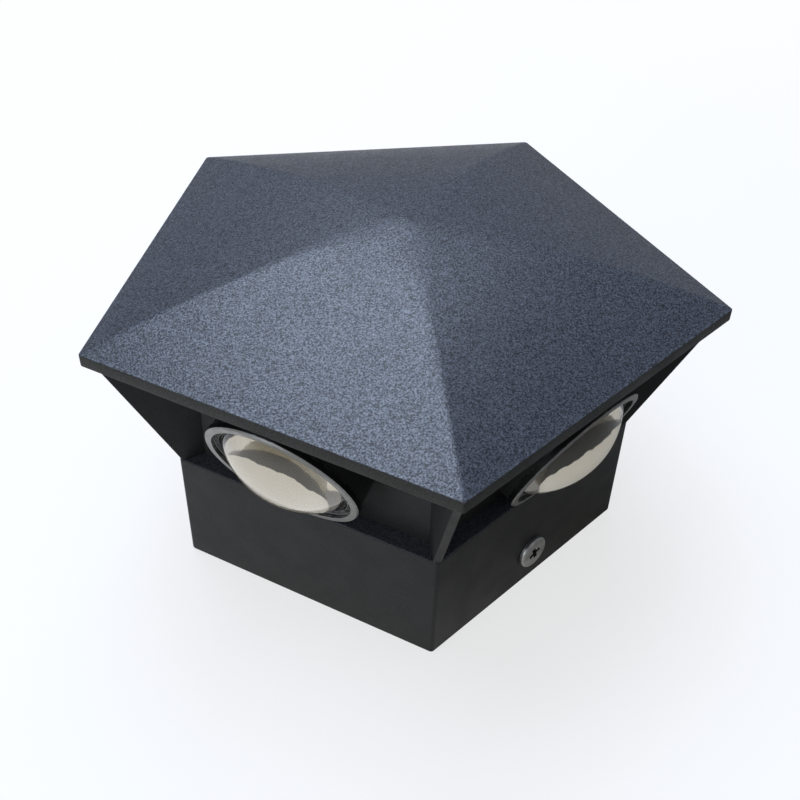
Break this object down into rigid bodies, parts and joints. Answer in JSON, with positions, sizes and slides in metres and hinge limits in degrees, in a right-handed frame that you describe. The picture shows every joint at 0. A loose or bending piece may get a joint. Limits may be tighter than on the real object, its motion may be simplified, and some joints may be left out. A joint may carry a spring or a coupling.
{
  "type": "outdoor wall light",
  "caption": "Pentagonal surface wall light: tilted lenses under an overhanging domed cover throw fans of light along the wall; head lifts off a wall bracket.",
  "frame": {"origin": "centre of the wall screw circle, on the plane of the wall", "axes": "+Z straight out of the wall, away from it; one corner of the pentagon points along -Y"},
  "size_m": [0.1332, 0.127, 0.0763],
  "materials": {
    "powder_coat": "fine sand-textured dark grey powder coat",
    "bare_ring": "turned aluminium, lightly satin",
    "clear_lens": "clear polished condenser lens",
    "cream_reflector": "cream white gloss",
    "white_board": "white solder mask on an aluminium core",
    "phosphor": "yellow phosphor on a white ceramic base",
    "black_rubber": "matte moulded rubber",
    "clear_silicone": "translucent silicone",
    "driver_plastic": "white moulded plastic",
    "foam_tape": "grey foam",
    "galvanised": "zinc-plated sheet steel",
    "zinc_screw": "bright zinc plating",
    "black_nylon": "moulded nylon",
    "lead_sleeve": "silicone lead insulation",
    "brass": "plain brass"
  },
  "bodies": {
    "bracket": {"wall_bracket": "galvanised", "earth_screw": "brass"},
    "screw_right": {"side_screw_right": "zinc_screw"},
    "screw_left": {"side_screw_left": "zinc_screw"},
    "lamp_head": {"cover_plate": "powder_coat", "housing_base": "powder_coat", "housing_core": "powder_coat", "housing_fins": "powder_coat", "lens_barrels": "powder_coat", "cover_gasket": "black_rubber", "cover_screws": "zinc_screw", "led_leads": "lead_sleeve", "driver_case": "driver_plastic", "driver_pad": "foam_tape", "back_plate": "galvanised", "back_gasket": "black_rubber", "back_plate_screws": "zinc_screw", "gland_body": "black_nylon", "gland_seal": "black_rubber", "gland_nut": "black_nylon", "gland_locknut": "black_nylon", "nut_plate_right": "galvanised", "nut_plate_left": "galvanised", "lens_ring_1": "bare_ring", "lens_ring_2": "bare_ring", "lens_ring_3": "bare_ring", "lens_ring_4": "bare_ring", "lens_ring_5": "bare_ring", "lens_1": "clear_lens", "lens_2": "clear_lens", "lens_3": "clear_lens", "lens_4": "clear_lens", "lens_5": "clear_lens", "lens_seal_1": "clear_silicone", "lens_seal_2": "clear_silicone", "lens_seal_3": "clear_silicone", "lens_seal_4": "clear_silicone", "lens_seal_5": "clear_silicone", "reflector_cup_1": "cream_reflector", "reflector_cup_2": "cream_reflector", "reflector_cup_3": "cream_reflector", "reflector_cup_4": "cream_reflector", "reflector_cup_5": "cream_reflector", "led_board_1": "white_board", "led_board_2": "white_board", "led_board_3": "white_board", "led_board_4": "white_board", "led_board_5": "white_board", "led_emitter_1": "phosphor", "led_emitter_2": "phosphor", "led_emitter_3": "phosphor", "led_emitter_4": "phosphor", "led_emitter_5": "phosphor"}
  },
  "joints": [
    {"name": "head_lift", "type": "slide", "parent": "bracket", "child": "lamp_head", "axis": [0, 0, 1], "range_m": [0, 0.04]},
    {"name": "screw_right_out", "type": "slide", "parent": "lamp_head", "child": "screw_right", "axis": [0.5878, -0.809, 0], "range_m": [0, 0.003]},
    {"name": "screw_left_out", "type": "slide", "parent": "lamp_head", "child": "screw_left", "axis": [-0.9511, 0.309, 0], "range_m": [0, 0.003]}
  ]
}
